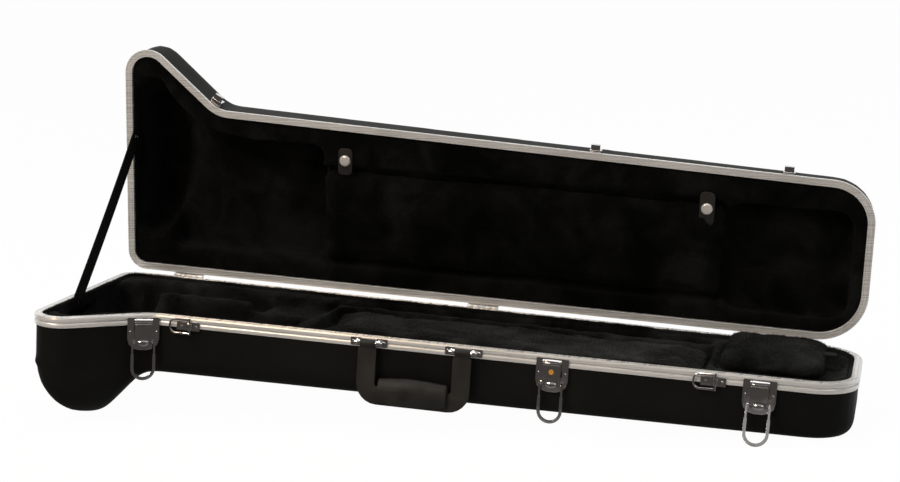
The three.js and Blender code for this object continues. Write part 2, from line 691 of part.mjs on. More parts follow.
function ringBody() {
  const half = ring.tall / 2;
  const bar = rodZ(ring.wire, ring.tall + 2 * ring.wire, steps.wire);
  const long = ring.wide - ring.corner;
  const upper = rodX(ring.wire, long, steps.wire).translate(-long / 2, 0, half);
  const lower = rodX(ring.wire, long, steps.wire).translate(-long / 2, 0, -half);
  const section = new THREE.Shape(new THREE.Path().absarc(0, 0, ring.wire, 0, 2 * Math.PI).getPoints(steps.wire));
  const arc = new THREE.CatmullRomCurve3(Array.from({ length: steps.corner + 1 }, (_, i) => {
    const angle = Math.PI / 2 + (Math.PI * i) / steps.corner;
    return new THREE.Vector3(-long + ring.corner * Math.cos(angle), 0, half * Math.sin(angle));
  }));
  const end = new THREE.ExtrudeGeometry(section, { steps: steps.turned, bevelEnabled: false, extrudePath: arc });
  return join(bar, upper, lower, end);
}

function addRing(base, x, number) {
  const frame = frontFrame(x, ringClip.right);
  addMesh(frame, `ring_clip_${number}`, ringClipBody(frame), 'chrome');
  const mesh = addMesh(frame, `d_ring_${number}`, ringBody(), 'chrome');
  mesh.position.set(0, -gap - ringClip.thick - ringClip.bore, -ring.middle);
  base.add(frame);
}

// Carrying handle, drawn about its pivot line, hanging down
const handle = {
  alongShare: 0.3955, half: 68, band: 22, thick: 5, low: 72, corner: 25, axisDrop: 6.4, axisOut: 6,
  hang: THREE.MathUtils.degToRad(3),
};
const handleBar = { radius: 1.9, bore: 2.3, loop: 4.6, loopHalf: 9, clipReach: 8 };
const handleClip = { wide: 13, tall: 10, thick: 1.2, boss: 3.4, bossLong: 6 };
const grip = { half: 42, radius: 15, crown: 2.4, flatShare: 0.54, drop: 55, slot: 0.4 };

function handleStrap() {
  const outer = roundedOutline([
    { x: -handle.half, y: 0, r: 0 },
    { x: -handle.half, y: -handle.low, r: handle.corner },
    { x: handle.half, y: -handle.low, r: handle.corner },
    { x: handle.half, y: 0, r: 0 },
  ]);
  const inner = roundedOutline([
    { x: -handle.half + handle.band, y: handle.band, r: 0 },
    { x: -handle.half + handle.band, y: -handle.low + handle.band, r: handle.corner - handle.band },
    { x: handle.half - handle.band, y: -handle.low + handle.band, r: handle.corner - handle.band },
    { x: handle.half - handle.band, y: handle.band, r: 0 },
  ]);
  const middle = handle.thick / 2;
  let body = solid(facePlate(outer, handle.thick).translate(0, middle, 0));
  body = body.subtract(solid(facePlate(inner, 3 * handle.thick).translate(0, 3 * middle, 0)));
  [-1, 1].forEach((side) => {
    const x = side * (handle.half - handle.band / 2);
    const spare = handle.band / 2 - handleBar.loopHalf;
    [-1, 1].forEach((edge) => {
      const tall = 2 * (handleBar.loop + spare);
      const shoulder = box(2 * spare, 3 * handle.thick, tall, x + edge * (handleBar.loopHalf + spare), 0, 0);
      body = body.subtract(solid(shoulder));
    });
    body = body.add(solid(rodX(handleBar.loop, 2 * handleBar.loopHalf).translate(x, 0, 0)));
    body = body.subtract(solid(rodX(handleBar.bore, 2 * handle.band, steps.small).translate(x, 0, 0)));
  });
  return body;
}

function handleGrip() {
  const profile = [new THREE.Vector2(0, -grip.half)];
  const count = steps.corner;
  for (let i = 0; i <= count; i += 1) {
    const share = (2 * i) / count - 1;
    const swell = grip.radius + grip.crown * (1 - share * share);
    profile.push(new THREE.Vector2(swell, share * grip.half));
  }
  profile.push(new THREE.Vector2(0, grip.half));
  const body = new THREE.LatheGeometry(profile, steps.turned + steps.corner)
    .rotateZ(Math.PI / 2)
    .scale(1, grip.flatShare, 1)
    .translate(0, 0, -grip.drop);
  const low = new THREE.Vector3(-handle.half, -handle.thick / 2 - grip.slot, -handle.low - grip.slot);
  const high = new THREE.Vector3(handle.half, handle.thick / 2 + grip.slot, -handle.low + handle.band + grip.slot);
  return solid(body).subtract(solid(boxBetween(low, high)));
}

function addHandle(base) {
  const frame = frontFrame(alongStraight(handle.alongShare), handle.half);
  const hung = new THREE.Group();
  hung.position.set(0, -handle.axisOut, -handle.axisDrop);
  hung.rotation.x = -handle.hang;
  addMesh(hung, 'handle_strap', handleStrap(), 'vinyl');
  addMesh(hung, 'handle_grip', handleGrip(), 'vinyl');
  frame.add(hung);
  let clipNumber = 0;
  [-1, 1].forEach((side, i) => {
    const x = side * (handle.half - handle.band / 2);
    const barLong = 2 * (handleBar.loopHalf + handleBar.clipReach);
    const bar = addMesh(frame, `handle_bar_${i + 1}`, rodX(handleBar.radius, barLong, steps.small), 'chrome');
    bar.position.set(x, -handle.axisOut, -handle.axisDrop);
    [-1, 1].forEach((edge) => {
      clipNumber += 1;
      const middle = x + edge * (handleBar.loopHalf + gap + handleClip.wide / 2);
      const left = middle - handleClip.wide / 2;
      const low = -handle.axisDrop - handleClip.tall / 2;
      const outline = rectangle(left, left + handleClip.wide, low, low + handleClip.tall, handleClip.thick);
      const slab = facePlate(outline, handleClip.thick + plate.back).translate(0, plate.back - gap, 0);
      const face = -gap - handleClip.thick;
      const near = x + edge * (handleBar.loopHalf + gap + handleClip.bossLong / 2);
      const boss = rodX(handleClip.boss, handleClip.bossLong).translate(near, -handle.axisOut, -handle.axisDrop);
      const root = face + gap;
      const foot = boxBetween(
        new THREE.Vector3(near - handleClip.bossLong / 2, -handle.axisOut, -handle.axisDrop - handleClip.boss / 2),
        new THREE.Vector3(near + handleClip.bossLong / 2, root, -handle.axisDrop + handleClip.boss / 2),
      );
      const bore = rodX(handleBar.bore, handleClip.wide + handleClip.bossLong, steps.small)
        .translate(near, -handle.axisOut, -handle.axisDrop);
      const headX = middle + edge * (handleClip.wide / 4);
      const head = rivetHead(rivet.radius, rivet.height + gap, headX, root, -handle.axisDrop);
      const clip = seated(slab, frame).add(join(boss, foot)).subtract(solid(bore)).add(solid(head));
      addMesh(frame, `handle_clip_${clipNumber}`, clip, 'chrome');
    });
  });
  base.add(frame);
}

// Hinges on the straight back: a leaf on each half and a pin
const hingeShares = [0.089, 0.5047, 0.9016];
const hingePlaces = hingeShares.map((share) => share * caseLength);
const hinge = { long: 40, knuckle: 2.9, bore: 1.5, pin: 1.3, leaf: 1.1, tall: 12, low: 3.5, knuckles: 5 };

function hingeLeaf(first, away) {
  const reach = hingeAxis.behind - trim.rib - gap - hinge.leaf / 2;
  const slab = box(hinge.long, hinge.leaf, hinge.tall - hinge.low, 0, -reach, (away * (hinge.tall + hinge.low)) / 2);
  const pitch = hinge.long / hinge.knuckles;
  let body = solid(slab);
  if (away > 0) {
    const packing = boxBetween(
      new THREE.Vector3(-hinge.long / 2, -hingeAxis.behind - shellInset + gap, lidFlange + gap),
      new THREE.Vector3(hinge.long / 2, -reach, hinge.tall),
    );
    body = body.add(solid(packing));
  }
  for (let i = first; i < hinge.knuckles; i += 2) {
    const x = (i + 0.5) * pitch - hinge.long / 2;
    const tube = rodX(hinge.knuckle, pitch - gap, steps.small).translate(x, 0, 0);
    const tongue = boxBetween(
      new THREE.Vector3(x - (pitch - gap) / 2, -reach - hinge.leaf / 2, Math.min(0, away * (hinge.low + hinge.leaf))),
      new THREE.Vector3(x + (pitch - gap) / 2, -reach + hinge.leaf / 2, Math.max(0, away * (hinge.low + hinge.leaf))),
    );
    body = body.add(solid(tube)).add(solid(tongue));
  }
  const swept = rodX(hinge.knuckle + gap, pitch + gap, steps.small);
  for (let i = 1 - first; i < hinge.knuckles; i += 2) {
    body = body.subtract(solid(swept.clone().translate((i + 0.5) * pitch - hinge.long / 2, 0, 0)));
  }
  return body.subtract(solid(rodX(hinge.bore, 2 * hinge.long, steps.small)));
}

function addHinge(base, lid, x, number) {
  const pin = addMesh(base, `hinge_pin_${number}`, rodX(hinge.pin, hinge.long, steps.small), 'chrome');
  const lower = addMesh(base, `hinge_base_leaf_${number}`, hingeLeaf(0, -1), 'valance');
  const upper = addMesh(lid, `hinge_lid_leaf_${number}`, hingeLeaf(1, 1), 'valance');
  [pin, lower, upper].forEach((mesh) => mesh.position.set(x, hingeAxis.behind, hingeAxis.above));
}

// Vinyl tabs in the lid with a nickel cap and the stud that it snaps onto
const tabShares = [
  { along: 0.311, from: 0.858, to: 0.6985, cap: 0.785 },
  { along: 0.7907, from: 0.8406, to: 0.6365, cap: 0.7386 },
];
const tabPlaces = tabShares.map(({ along, from, to, cap }) => {
  const width = straightWidth(along * caseLength);
  return { x: along * caseLength, from: -from * width, to: -to * width, cap: -cap * width };
});
const tab = { half: 9.4, thick: 1.8, cap: 7.4, capTall: 2.6, topShare: 0.8, stud: 4.5, studTall: 2.4 };

// The shallow bores in the lining and its pad that the studs are set into
function studBores() {
  const deep = tab.studTall + 2 * gap;
  return tabPlaces.map((place) => (
    solid(rodZ(tab.stud + gap, deep).translate(place.x, place.cap, liningTop - gap + deep / 2))
  ));
}

function withStudBores(body) {
  return studBores().reduce((rest, bore) => rest.subtract(bore), body);
}

function addLidTab(lid, place, number) {
  const level = liningTop - gap;
  const long = place.to - place.from;
  const turned = new THREE.Group();
  turned.position.set(place.x, place.from, level);
  const outline = new THREE.Shape(rectangle(-tab.half, tab.half, 0, long, tab.half - 2 * tab.thick));
  const strap = new THREE.ExtrudeGeometry(outline, { depth: tab.thick, bevelEnabled: false })
    .translate(0, 0, -tab.thick);
  addMesh(turned, `lid_tab_${number}`, strap, 'vinyl');
  const capProfile = [
    new THREE.Vector2(0, 0),
    new THREE.Vector2(tab.cap, 0),
    new THREE.Vector2(tab.cap, tab.capTall / 3),
    new THREE.Vector2(tab.cap * tab.topShare, tab.capTall),
    new THREE.Vector2(0, tab.capTall),
  ];
  const cap = new THREE.LatheGeometry(capProfile, steps.turned).rotateX(-Math.PI / 2);
  addMesh(turned, `snap_cap_${number}`, cap, 'nickel').position.set(0, place.cap - place.from, -tab.thick - gap);
  lid.add(turned);
  const stud = rodZ(tab.stud, tab.studTall).translate(place.x, place.cap, level + gap + tab.studTall / 2);
  addMesh(lid, `snap_stud_${number}`, stud, 'nickel');
}

// Webbing stay between the bell ends of the two halves, held at each rim by a riveted plate
function addStay(base, lid) {
  const x = trim.width + gap + stay.thick / 2;
  const hinge = new THREE.Vector3(0, hingeAxis.behind, hingeAxis.above);
  const onBase = new THREE.Vector3(x, stay.y, 0);
  const onLid = onBase.clone().sub(hinge).applyAxisAngle(new THREE.Vector3(1, 0, 0), -openAngle).add(hinge);
  const between = onLid.clone().sub(onBase);
  const turn = Math.atan2(-between.y, between.z);
  const room = between.length() / 2 + stay.seam;
  const holes = [-room, room].map((z) => solid(rodX(stay.shank + gap, 2 * stay.thick, steps.small).translate(0, 0, z)));
  const band = solid(box(stay.thick, stay.width, between.length() + 2 * stay.hem));
  const strap = addMesh(base, 'stay_strap', band.subtract(holes[0]).subtract(holes[1]), 'webbing');
  strap.position.copy(onBase).add(onLid).multiplyScalar(0.5);
  strap.rotation.x = turn;
  const inwards = stay.thick / 2 + gap;
  const sheet = box(stay.plate, stay.plateWide, stay.plateTall, inwards + stay.plate / 2, 0, 0);
  const head = rodX(stay.rivet, stay.plate + stay.rivetHeight, steps.small)
    .translate(inwards + (stay.plate + stay.rivetHeight) / 2, 0, 0);
  const shankLong = inwards + stay.plate / 2 + stay.thick / 2;
  const shank = rodX(stay.shank, shankLong, steps.small).translate((shankLong - stay.thick) / 2, 0, 0);
  [['base', base, onBase, turn, -1], ['lid', lid, onBase, -turn, 1]].forEach(([half, group, rim, angle, side]) => {
    const anchor = addMesh(group, `stay_anchor_${half}`, join(sheet, head, shank), 'chrome');
    const along = new THREE.Vector3(0, -Math.sin(angle), Math.cos(angle)).multiplyScalar(side * stay.seam);
    anchor.position.copy(rim).add(along);
    anchor.rotation.x = angle;
  });
}

// Assembly
const base = new THREE.Group();
const lid = new THREE.Group();
const lidTurned = new THREE.Group();
lidTurned.position.set(0, hingeAxis.behind, hingeAxis.above);
lidTurned.rotation.x = -openAngle;
lid.position.set(0, -hingeAxis.behind, -hingeAxis.above);
lidTurned.add(lid);

const baseShell = addMesh(base, 'base_shell', hungBelow(meshGeometry(shell(baseDepth, true))), 'shell');
const floor = restingFloor(baseShell.geometry);
addMesh(lid, 'lid_shell', shell(lidDepth, false), 'shell');
addMesh(base, 'base_trim', hungBelow(meshGeometry(baseValance())), 'valance');
addMesh(lid, 'lid_trim', valance(lidFlange, []), 'valance');
addMesh(base, 'base_liner', hungBelow(meshGeometry(lining(baseDepth, baseWells))), 'plush');
addMesh(lid, 'lid_liner', withStudBores(lining(lidDepth, lidWells)), 'plush');

const frontBlock = blockIn(baseWells.frontPad, { ...basePad, r: baseWells.frontPad.r });
addMesh(base, 'base_front_pad', paddedBlock(frontBlock), 'paleplush').position.z = gap - baseWells.frontPad.depth;
const lidPad = hungBelow(paddedBlock(blockIn(lidWells.pad, lidPadRoom))).translate(0, 0, lidWells.pad.depth - gap);
addMesh(lid, 'lid_pad', withStudBores(solid(lidPad)), 'plush');

const coverHinge = new THREE.Group();
coverHinge.position.set(cover.left, 0, gap - liningDrop + cover.thick);
const coverLocal = { ...cover, left: 0, right: cover.right - cover.left };
addMesh(coverHinge, 'accessory_cover', paddedBlock(coverLocal).translate(0, 0, -cover.thick), 'plush');
const rootShare = 1 - (2 * pullTab.root) / coverLocal.right;
const rootLevel = cover.crown * (1 - rootShare * rootShare) + gap + pullTab.thick / 2;
addMesh(coverHinge, 'accessory_pull_tab', box(pullTab.long, pullTab.width, pullTab.thick), 'plush')
  .position.set(coverLocal.right - pullTab.root + pullTab.long / 2, -pullTab.acrossShare * straightWidth(cover.right), rootLevel);
base.add(coverHinge);

hingePlaces.forEach((x, i) => addHinge(base, lid, x, i + 1));
latchPlaces.forEach((x, i) => addLatch(base, lid, x, i + 1, floor));
ringPlaces.forEach((x, i) => addRing(base, x, i + 1));
addHandle(base);
tabPlaces.forEach((place, i) => addLidTab(lid, place, i + 1));
addStay(base, lid);

const leaned = new THREE.Group();
leaned.add(base, lidTurned);
leaned.rotation.y = Math.atan(floor.slope);

const tromboneCase = new THREE.Group();
tromboneCase.add(leaned);
tromboneCase.updateMatrixWorld(true);
const bounds = new THREE.Box3().setFromObject(tromboneCase, true);
const centre = bounds.getCenter(new THREE.Vector3());
leaned.position.set(-centre.x, -centre.y, -bounds.min.z);

export default tromboneCase;
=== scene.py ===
import json
import math
import random

import bmesh
import bpy
from mathutils import Matrix, Vector, noise


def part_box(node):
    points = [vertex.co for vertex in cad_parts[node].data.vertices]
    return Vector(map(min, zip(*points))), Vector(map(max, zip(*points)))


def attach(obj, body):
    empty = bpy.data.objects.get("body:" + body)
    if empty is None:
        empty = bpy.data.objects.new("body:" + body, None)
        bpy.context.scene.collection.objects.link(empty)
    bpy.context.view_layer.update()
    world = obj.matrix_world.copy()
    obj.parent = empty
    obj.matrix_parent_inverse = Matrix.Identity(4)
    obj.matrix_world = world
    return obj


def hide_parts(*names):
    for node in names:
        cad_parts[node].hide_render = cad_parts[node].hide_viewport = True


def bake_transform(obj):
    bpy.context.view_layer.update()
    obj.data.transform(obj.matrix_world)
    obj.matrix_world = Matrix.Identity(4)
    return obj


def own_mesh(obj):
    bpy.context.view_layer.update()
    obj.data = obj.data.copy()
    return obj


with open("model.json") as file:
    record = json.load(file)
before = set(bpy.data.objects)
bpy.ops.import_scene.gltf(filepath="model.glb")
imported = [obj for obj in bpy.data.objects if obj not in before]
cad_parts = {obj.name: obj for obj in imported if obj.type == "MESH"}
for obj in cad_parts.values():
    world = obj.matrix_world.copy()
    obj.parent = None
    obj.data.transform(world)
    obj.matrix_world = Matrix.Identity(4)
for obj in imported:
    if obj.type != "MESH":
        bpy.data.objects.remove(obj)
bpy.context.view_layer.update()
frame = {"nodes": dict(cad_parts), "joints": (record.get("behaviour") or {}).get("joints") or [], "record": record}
print("frame loaded")

mm = 0.001
weld = 0.01 * mm
halfway = 0.5
nodes = frame["nodes"]
joints = {joint["name"]: joint for joint in frame["joints"]}
bodyOf = {node: body for body, group in frame["record"]["behaviour"]["bodies"].items() for node in group}
slotOf = {row["node"]: row["material_slot"] for row in frame["record"]["subparts"]}
# The base liner and the cover take lighter copies of the black plush, painted lighter as a painted sheen
plushOf = {"base_liner": "basePlush", "accessory_cover": "coverPlush", "accessory_pull_tab": "coverPlush"}

# The case's outline in plan, as in the CAD
plan = {
    "length": 965 * mm, "neckWidth": 224 * mm, "tailWidth": 200 * mm,
    "flareEnd": 128 * mm, "flareAngle": 40.3,
    "bellBack": 25 * mm, "bellFront": 32 * mm, "flare": 41 * mm,
    "tailFront": 54 * mm, "tailBack": 61 * mm,
}
hingeBehind = 3.8 * mm
openAngle = 84.5


# The case's own frame, read from the lid's hinge, and the lid's frame as it stands open
def findCaseFrame():
    hinge = joints["lid_hinge"]
    axis = Vector(hinge["axis"])
    lean = Matrix.Rotation(math.atan2(axis.z, -axis.x), 4, "Y")
    start = Matrix.Translation((-plan["length"] / 2, -hingeBehind, 0))
    return Matrix.Translation(hinge["pos_m"]) @ lean @ start


def findLidFrame():
    hinge = Matrix.Translation((0, hingeBehind, 0))
    turn = Matrix.Rotation(math.radians(-openAngle), 4, "X")
    return caseFrame @ hinge @ turn @ hinge.inverted()


caseFrame = findCaseFrame()
lidFrame = findLidFrame()
frameOf = {"base": caseFrame, "lid": lidFrame, "cover": caseFrame}

# Camera and plain studio; the room in front of the case is darker than the white behind it
camera = {
    "place": (0.54878, -2.19789, 0.57657), "turn": (80.666, 1.094, 14.213), "lens": 75.23, "sensor": 36,
}
studio = {
    "white": (1, 1, 1, 1), "target": (0, 0, 0.15),
    "floor": 60, "floorColor": (0.86, 0.86, 0.86, 1), "floorLift": 0.975, "ambient": 0.42,
    "room": (0.075, 0.067, 0.06), "ceiling": (0.4, 0.39, 0.37),
    "floorSide": (-0.3, 0.3), "skySide": (-0.1, 0.5), "ceilingSide": (0.12, 0.55),
    "lamps": [
        {"name": "paleKey", "place": (-1.4, -2, 2.4),
         "size": 1.1, "power": 40, "color": (1, 0.94, 0.87)},
        {"name": "warmGlow", "place": (-0.8, -2.3, 1.2),
         "size": 0.5, "power": 11, "color": (1, 0.68, 0.4)},
        {"name": "coolFill", "place": (2.5, -1.3, 1.6),
         "size": 1, "power": 4, "color": (0.92, 0.96, 1)},
        {"name": "topLamp", "place": (0.2, 0.5, 2.7),
         "size": 2.2, "power": 30, "color": (1, 0.99, 0.97)},
    ],
}


def addCamera():
    data = bpy.data.cameras.new("photoCamera")
    data.lens = camera["lens"]
    data.sensor_width = camera["sensor"]
    eye = bpy.data.objects.new("photoCamera", data)
    eye.location = camera["place"]
    eye.rotation_euler = [math.radians(angle) for angle in camera["turn"]]
    bpy.context.scene.collection.objects.link(eye)
    bpy.context.scene.camera = eye


def addLamp(lamp, target):
    data = bpy.data.lights.new(lamp["name"], "AREA")
    data.shape = "DISK"
    data.size = lamp["size"]
    data.energy = lamp["power"]
    data.color = lamp["color"]
    obj = bpy.data.objects.new(lamp["name"], data)
    obj.location = lamp["place"]
    obj.rotation_euler = (target - obj.location).to_track_quat("-Z", "Y").to_euler()
    bpy.context.scene.collection.objects.link(obj)


def addMath(tree, operation, first, second=0):
    step = tree.nodes.new("ShaderNodeMath")
    step.operation = operation
    for socket, value in zip(step.inputs, (first, second)):
        if isinstance(value, bpy.types.NodeSocket):
            tree.links.new(value, socket)
        else:
            socket.default_value = value
    return step.outputs[0]


def addSide(tree, place, span, axis="Y"):
    split = tree.nodes.new("ShaderNodeSeparateXYZ")
    tree.links.new(place, split.inputs["Vector"])
    side = tree.nodes.new("ShaderNodeMapRange")
    side.interpolation_type = "SMOOTHSTEP"
    side.inputs["From Min"].default_value = span[0]
    side.inputs["From Max"].default_value = span[1]
    tree.links.new(split.outputs[axis], side.inputs["Value"])
    return side.outputs["Result"]


# How much of the white backdrop a ray sees: all of it from the camera and through glass, its side in gloss
def seenWhite(tree, side):
    path = tree.nodes.new("ShaderNodeLightPath")
    gloss = addMath(tree, "MULTIPLY", path.outputs["Is Glossy Ray"], side)
    straight = addMath(tree, "MAXIMUM", path.outputs["Is Camera Ray"], path.outputs["Is Transmission Ray"])
    return addMath(tree, "MAXIMUM", straight, gloss), path.outputs["Is Glossy Ray"]


def addWorld():
    world = bpy.data.worlds.new("paleRoom")
    bpy.context.scene.world = world
    world.use_nodes = True
    tree = world.node_tree
    ambient = tree.nodes["Background"]
    ambient.inputs["Color"].default_value = studio["white"]
    ambient.inputs["Strength"].default_value = studio["ambient"]
    direction = tree.nodes.new("ShaderNodeTexCoord")
    height = addSide(tree, direction.outputs["Generated"], studio["ceilingSide"], "Z")
    room = tree.nodes.new("ShaderNodeBackground")
    tree.links.new(addRamp(tree, height, [(0, studio["room"]), (1, studio["ceiling"])]), room.inputs["Color"])
    white = tree.nodes.new("ShaderNodeBackground")
    white.inputs["Color"].default_value = studio["white"]
    seen, gloss = seenWhite(tree, addSide(tree, direction.outputs["Generated"], studio["skySide"]))
    inRoom = tree.nodes.new("ShaderNodeMixShader")
    tree.links.new(gloss, inRoom.inputs[0])
    tree.links.new(ambient.outputs[0], inRoom.inputs[1])
    tree.links.new(room.outputs[0], inRoom.inputs[2])
    mix = tree.nodes.new("ShaderNodeMixShader")
    tree.links.new(seen, mix.inputs[0])
    tree.links.new(inRoom.outputs[0], mix.inputs[1])
    tree.links.new(white.outputs[0], mix.inputs[2])
    tree.links.new(mix.outputs[0], tree.nodes["World Output"].inputs["Surface"])


def addFloor():
    shape = bmesh.new()
    bmesh.ops.create_grid(shape, x_segments=1, y_segments=1, size=studio["floor"])
    mesh = bpy.data.meshes.new("studioFloor")
    shape.to_mesh(mesh)
    shape.free()
    floor = bpy.data.objects.new("studioFloor", mesh)
    bpy.context.scene.collection.objects.link(floor)
    material = bpy.data.materials.new("studioFloor")
    material.use_nodes = True
    tree = material.node_tree
    shader = tree.nodes["Principled BSDF"]
    shader.inputs["Base Color"].default_value = studio["floorColor"]
    shader.inputs["Roughness"].default_value = 1
    shader.inputs["Specular IOR Level"].default_value = 0
    glow = tree.nodes.new("ShaderNodeEmission")
    glow.inputs["Color"].default_value = studio["white"]
    room = tree.nodes.new("ShaderNodeEmission")
    room.inputs["Color"].default_value = (*studio["room"], 1)
    place = tree.nodes.new("ShaderNodeTexCoord")
    seen, gloss = seenWhite(tree, addSide(tree, place.outputs["Object"], studio["floorSide"]))
    inRoom = tree.nodes.new("ShaderNodeMixShader")
    tree.links.new(gloss, inRoom.inputs[0])
    tree.links.new(shader.outputs[0], inRoom.inputs[1])
    tree.links.new(room.outputs[0], inRoom.inputs[2])
    mix = tree.nodes.new("ShaderNodeMixShader")
    tree.links.new(addMath(tree, "MULTIPLY", seen, studio["floorLift"]), mix.inputs[0])
    tree.links.new(inRoom.outputs[0], mix.inputs[1])
    tree.links.new(glow.outputs[0], mix.inputs[2])
    tree.links.new(mix.outputs[0], tree.nodes["Material Output"].inputs["Surface"])
    mesh.materials.append(material)


def addStudio():
    bpy.context.scene.view_settings.view_transform = "Standard"
    addCamera()
    addWorld()
    addFloor()
    target = Vector(studio["target"])
    for lamp in studio["lamps"]:
        addLamp(lamp, target)
    print("studio ready")


# Materials: a Principled shader whose plain values sit on its sockets, and patterns on Object coordinates
def startMaterial(name, color, roughness, **sockets):
    material = bpy.data.materials.new(name)
    material.use_nodes = True
    shader = material.node_tree.nodes["Principled BSDF"]
    shader.inputs["Base Color"].default_value = (*color, 1)
    shader.inputs["Roughness"].default_value = roughness
    for socket, value in sockets.items():
        shader.inputs[socket.replace("_", " ")].default_value = value
    return material, material.node_tree, shader


def objectPlace(tree, turn=None, stretch=None):
    place = tree.nodes.new("ShaderNodeTexCoord")
    if turn is None and stretch is None:
        return place.outputs["Object"]
    mapping = tree.nodes.new("ShaderNodeMapping")
    if turn is not None:
        mapping.inputs["Rotation"].default_value = turn
    if stretch is not None:
        mapping.inputs["Scale"].default_value = stretch
    tree.links.new(place.outputs["Object"], mapping.inputs["Vector"])
    return mapping.outputs["Vector"]


def addNoise(tree, place, scale, detail=3, distortion=0):
    texture = tree.nodes.new("ShaderNodeTexNoise")
    texture.inputs["Scale"].default_value = scale
    texture.inputs["Detail"].default_value = detail
    texture.inputs["Distortion"].default_value = distortion
    tree.links.new(place, texture.inputs["Vector"])
    return texture.outputs["Fac"]


def addCells(tree, place, scale):
    texture = tree.nodes.new("ShaderNodeTexVoronoi")
    texture.inputs["Scale"].default_value = scale
    tree.links.new(place, texture.inputs["Vector"])
    return texture.outputs["Distance"]


def addRamp(tree, factor, stops):
    ramp = tree.nodes.new("ShaderNodeValToRGB")
    tree.links.new(factor, ramp.inputs["Fac"])
    elements = ramp.color_ramp.elements
    while len(elements) < len(stops):
        elements.new(halfway)
    for element, (at, color) in zip(elements, stops):
        element.position = at
        element.color = (*color, 1)
    return ramp.outputs["Color"]


def addRange(tree, factor, low, high):
    spread = tree.nodes.new("ShaderNodeMapRange")
    spread.inputs["To Min"].default_value = low
    spread.inputs["To Max"].default_value = high
    tree.links.new(factor, spread.inputs["Value"])
    return spread.outputs["Result"]


def addBump(tree, shader, heights):
    normal = None
    for height, strength, distance in heights:
        bump = tree.nodes.new("ShaderNodeBump")
        bump.inputs["Strength"].default_value = strength
        bump.inputs["Distance"].default_value = distance
        tree.links.new(height, bump.inputs["Height"])
        if normal is not None:
            tree.links.new(normal, bump.inputs["Normal"])
        normal = bump.outputs["Normal"]
    tree.links.new(normal, shader.inputs["Normal"])


def addTint(tree, shader, factor, places, colors):
    tree.links.new(addRamp(tree, factor, list(zip(places, colors))), shader.inputs["Base Color"])


def addWear(tree, shader, factor, span):
    tree.links.new(addRange(tree, factor, *span), shader.inputs["Roughness"])


# In each look a pattern is given as its scale and detail, and a bump as its strength and distance
def grainedShell():
    look = {
        "dark": (0.004, 0.0042, 0.0036), "light": (0.0075, 0.0077, 0.0067), "stops": (0.3, 0.75),
        "rough": (0.46, 0.6), "gloss": 0.06, "cloud": (9, 4), "wear": (45, 5), "grain": (950, 2),
        "pebble": 620, "wave": (6, 2), "grainBump": (0.35, 0.3 * mm), "pebbleBump": (0.3, 0.3 * mm),
        "waveBump": (0.1, 4 * mm),
    }
    material, tree, shader = startMaterial(
        "grainedShell", look["dark"], look["rough"][0], Specular_IOR_Level=look["gloss"])
    place = objectPlace(tree)
    cloud = addNoise(tree, place, *look["cloud"])
    addTint(tree, shader, cloud, look["stops"], (look["dark"], look["light"]))
    addWear(tree, shader, addNoise(tree, place, *look["wear"]), look["rough"])
    grain = addNoise(tree, place, *look["grain"])
    pebble = addCells(tree, place, look["pebble"])
    wave = addNoise(tree, place, *look["wave"])
    addBump(tree, shader, [
        (grain, *look["grainBump"]), (pebble, *look["pebbleBump"]), (wave, *look["waveBump"])])
    return material


def satinValance():
    look = {
        "color": (0.53, 0.525, 0.51), "bright": (0.76, 0.75, 0.73), "stops": (0.38, 0.6),
        "rough": (0.22, 0.34), "metal": 0.45, "stretch": (1, 1, 1500), "lines": (1, 2), "clouds": (14, 3),
        "cloudShare": 0.5, "fade": 0.7, "grain": (300, 2), "lineBump": (0.12, 0.2 * mm),
        "grainBump": (0.05, 0.2 * mm),
    }
    material, tree, shader = startMaterial(
        "satinValance", look["color"], look["rough"][0], Metallic=look["metal"])
    lean = math.atan2(caseFrame[0][2], caseFrame[0][0])
    place = objectPlace(tree, turn=(0, -lean, 0), stretch=look["stretch"])
    lines = addNoise(tree, place, *look["lines"])
    clouds = addNoise(tree, objectPlace(tree), *look["clouds"])
    both = addMath(tree, "ADD", lines, addMath(tree, "MULTIPLY", clouds, look["cloudShare"]))
    streaks = addMath(tree, "MULTIPLY", both, look["fade"])
    addTint(tree, shader, streaks, look["stops"], (look["color"], look["bright"]))
    addWear(tree, shader, lines, look["rough"])
    grain = addNoise(tree, objectPlace(tree), *look["grain"])
    addBump(tree, shader, [(lines, *look["lineBump"]), (grain, *look["grainBump"])])
    return material


def plush(name, dark, light, sheen):
    look = {
        "pile": (700, 3), "tuft": 260, "nap": (21, 5, 0.8), "patch": (7, 3, 0.4), "pileSpread": (0.85, 1.15),
        "stops": (0.14, 0.24, 0.4), "rough": 0.95, "gloss": 0.03, "sheenRough": 0.5,
        "sheenTint": (0.62, 0.64, 0.62, 1), "middleShare": 1 / 3, "pileBump": (0.7, 1.1 * mm),
        "tuftBump": (0.5, 1.6 * mm), "napBump": (0.3, 4 * mm),
    }
    material, tree, shader = startMaterial(
        name, dark, look["rough"], Specular_IOR_Level=look["gloss"], Sheen_Weight=sheen,
        Sheen_Roughness=look["sheenRough"], Sheen_Tint=look["sheenTint"])
    place = objectPlace(tree)
    nap = addNoise(tree, place, *look["nap"])
    patch = addNoise(tree, place, *look["patch"])
    pile = addNoise(tree, place, *look["pile"])
    brushed = addMath(tree, "MULTIPLY", nap, patch)
    both = addMath(tree, "MULTIPLY", brushed, addRange(tree, pile, *look["pileSpread"]))
    middle = tuple((low + high) * look["middleShare"] for low, high in zip(dark, light))
    addTint(tree, shader, both, look["stops"], (dark, middle, light))
    tuft = addCells(tree, place, look["tuft"])
    addBump(tree, shader, [(pile, *look["pileBump"]), (tuft, *look["tuftBump"]), (nap, *look["napBump"])])
    return material


